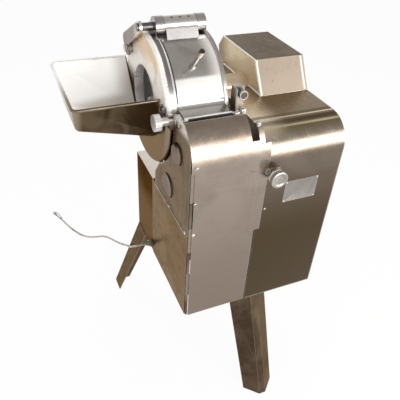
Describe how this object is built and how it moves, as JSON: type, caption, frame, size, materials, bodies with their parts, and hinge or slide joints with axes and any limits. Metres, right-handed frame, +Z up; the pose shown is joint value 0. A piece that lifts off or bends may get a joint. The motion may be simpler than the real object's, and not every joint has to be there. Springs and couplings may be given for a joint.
{
  "type": "industrial vegetable dicer",
  "caption": "Stainless vegetable dicer on a splayed tripod: side hopper on a swing feed door, drum with hinged gate, circular and crosscut knives behind a hinged cover, belt and gear drive.",
  "frame": {"origin": "on the floor under the middle of the machine's outline, the supply cord left out", "axes": "+Z up, +X along the drum axis from the hopper to the drive housing, +Y from the front cover to the back"},
  "size_m": [0.8246, 1.2542, 1.175],
  "materials": {
    "stainless_sheet": "brushed",
    "tan_sheet": "brushed",
    "cast_stainless": "satin",
    "bright_stainless": "polished",
    "drive_steel": "machined",
    "motor_paint": "satin",
    "belt_rubber": "matte",
    "dark_plastic": "matte",
    "cord_sheath": "matte"
  },
  "bodies": {
    "frame": {"housing_wrap": "stainless_sheet", "housing_right_side": "stainless_sheet", "housing_back": "stainless_sheet", "base_plate": "stainless_sheet", "main_plate": "cast_stainless", "gear_plate": "cast_stainless", "spacer_studs": "bright_stainless", "pulley_cover": "tan_sheet", "connection_box": "stainless_sheet", "side_plate": "stainless_sheet", "discharge_chute": "stainless_sheet", "compartment_back": "stainless_sheet", "front_leg": "stainless_sheet", "rear_left_leg": "stainless_sheet", "rear_right_leg": "stainless_sheet", "drum": "cast_stainless", "bearing_tube": "cast_stainless", "gate_hinge_block": "bright_stainless", "gate_hinge_shaft": "bright_stainless", "clamp_stud": "bright_stainless", "gauge_bracket": "cast_stainless", "slice_knife": "bright_stainless", "knife_holder": "cast_stainless", "stripper_comb": "cast_stainless", "bearing_caps": "bright_stainless", "disc_bearings": "drive_steel", "cross_bearings": "drive_steel", "main_bearings": "drive_steel", "motor": "motor_paint", "drive_belts": "belt_rubber", "cover_hinge": "bright_stainless", "cover_hinge_pin": "bright_stainless", "cable_gland": "dark_plastic", "supply_cord": "cord_sheath"},
    "gate": {"gate": "bright_stainless", "gate_knuckle": "bright_stainless", "gate_handle": "bright_stainless", "handle_grip": "dark_plastic"},
    "feed_door": {"feed_door": "bright_stainless", "hopper": "stainless_sheet", "door_arm": "cast_stainless", "door_arm_bolt": "bright_stainless"},
    "clamp_knob": {"clamp_knob": "bright_stainless"},
    "gauge_knob": {"gauge_knob": "bright_stainless"},
    "knife_cover": {"knife_cover": "stainless_sheet"},
    "cover_lock": {"cover_lock": "bright_stainless"},
    "impeller_shaft": {"main_shaft": "bright_stainless", "impeller": "cast_stainless", "impeller_nut": "bright_stainless", "main_gear": "drive_steel", "main_pulley": "drive_steel"},
    "disc_spindle": {"disc_shaft": "bright_stainless", "disc_knives": "bright_stainless", "disc_gear": "drive_steel"},
    "cross_spindle": {"cross_shaft": "bright_stainless", "crosscut_knives": "bright_stainless", "cross_gears": "drive_steel"},
    "motor_rotor": {"motor_rotor": "drive_steel"}
  },
  "joints": [
    {"name": "impeller_spin", "type": "hinge", "parent": "frame", "child": "impeller_shaft", "pos_m": [0.04425, 0.12851, 0.948], "axis": [1, 0, 0], "continuous": true},
    {"name": "disc_spin", "type": "hinge", "parent": "frame", "child": "disc_spindle", "pos_m": [-0.05575, -0.09248, 0.88796], "axis": [1, 0, 0], "continuous": true},
    {"name": "cross_spin", "type": "hinge", "parent": "frame", "child": "cross_spindle", "pos_m": [-0.05575, -0.02363, 0.74013], "axis": [1, 0, 0], "continuous": true},
    {"name": "motor_spin", "type": "hinge", "parent": "frame", "child": "motor_rotor", "pos_m": [0.14425, 0.08851, 0.455], "axis": [1, 0, 0], "continuous": true},
    {"name": "gate_swing", "type": "hinge", "parent": "frame", "child": "gate", "pos_m": [-0.07575, 0.12851, 1.15], "axis": [-1, 0, 0], "range_deg": [0, 95]},
    {"name": "door_swing", "type": "hinge", "parent": "frame", "child": "feed_door", "pos_m": [-0.18075, 0.12851, 1.15], "axis": [1, 0, 0], "range_deg": [0, 110]},
    {"name": "clamp_turn", "type": "hinge", "parent": "frame", "child": "clamp_knob", "pos_m": [-0.19075, -0.06581, 0.97358], "axis": [-1, 0, 0], "continuous": true},
    {"name": "gauge_turn", "type": "hinge", "parent": "frame", "child": "gauge_knob", "pos_m": [0.03325, -0.06749, 1.022], "axis": [0, -1, 0], "continuous": true},
    {"name": "cover_swing", "type": "hinge", "parent": "frame", "child": "knife_cover", "pos_m": [-0.15175, -0.19349, 0.62], "axis": [0, 0, -1], "range_deg": [0, 110]},
    {"name": "cover_lock_turn", "type": "hinge", "parent": "knife_cover", "child": "cover_lock", "pos_m": [0.08025, -0.21749, 0.846], "axis": [0, -1, 0], "continuous": true}
  ],
  "couplings": [
    {"joint": "cross_spin", "follows": "impeller_spin", "ratio": -0.55556},
    {"joint": "disc_spin", "follows": "impeller_spin", "ratio": 0.9596},
    {"joint": "motor_spin", "follows": "impeller_spin", "ratio": 2.039}
  ]
}
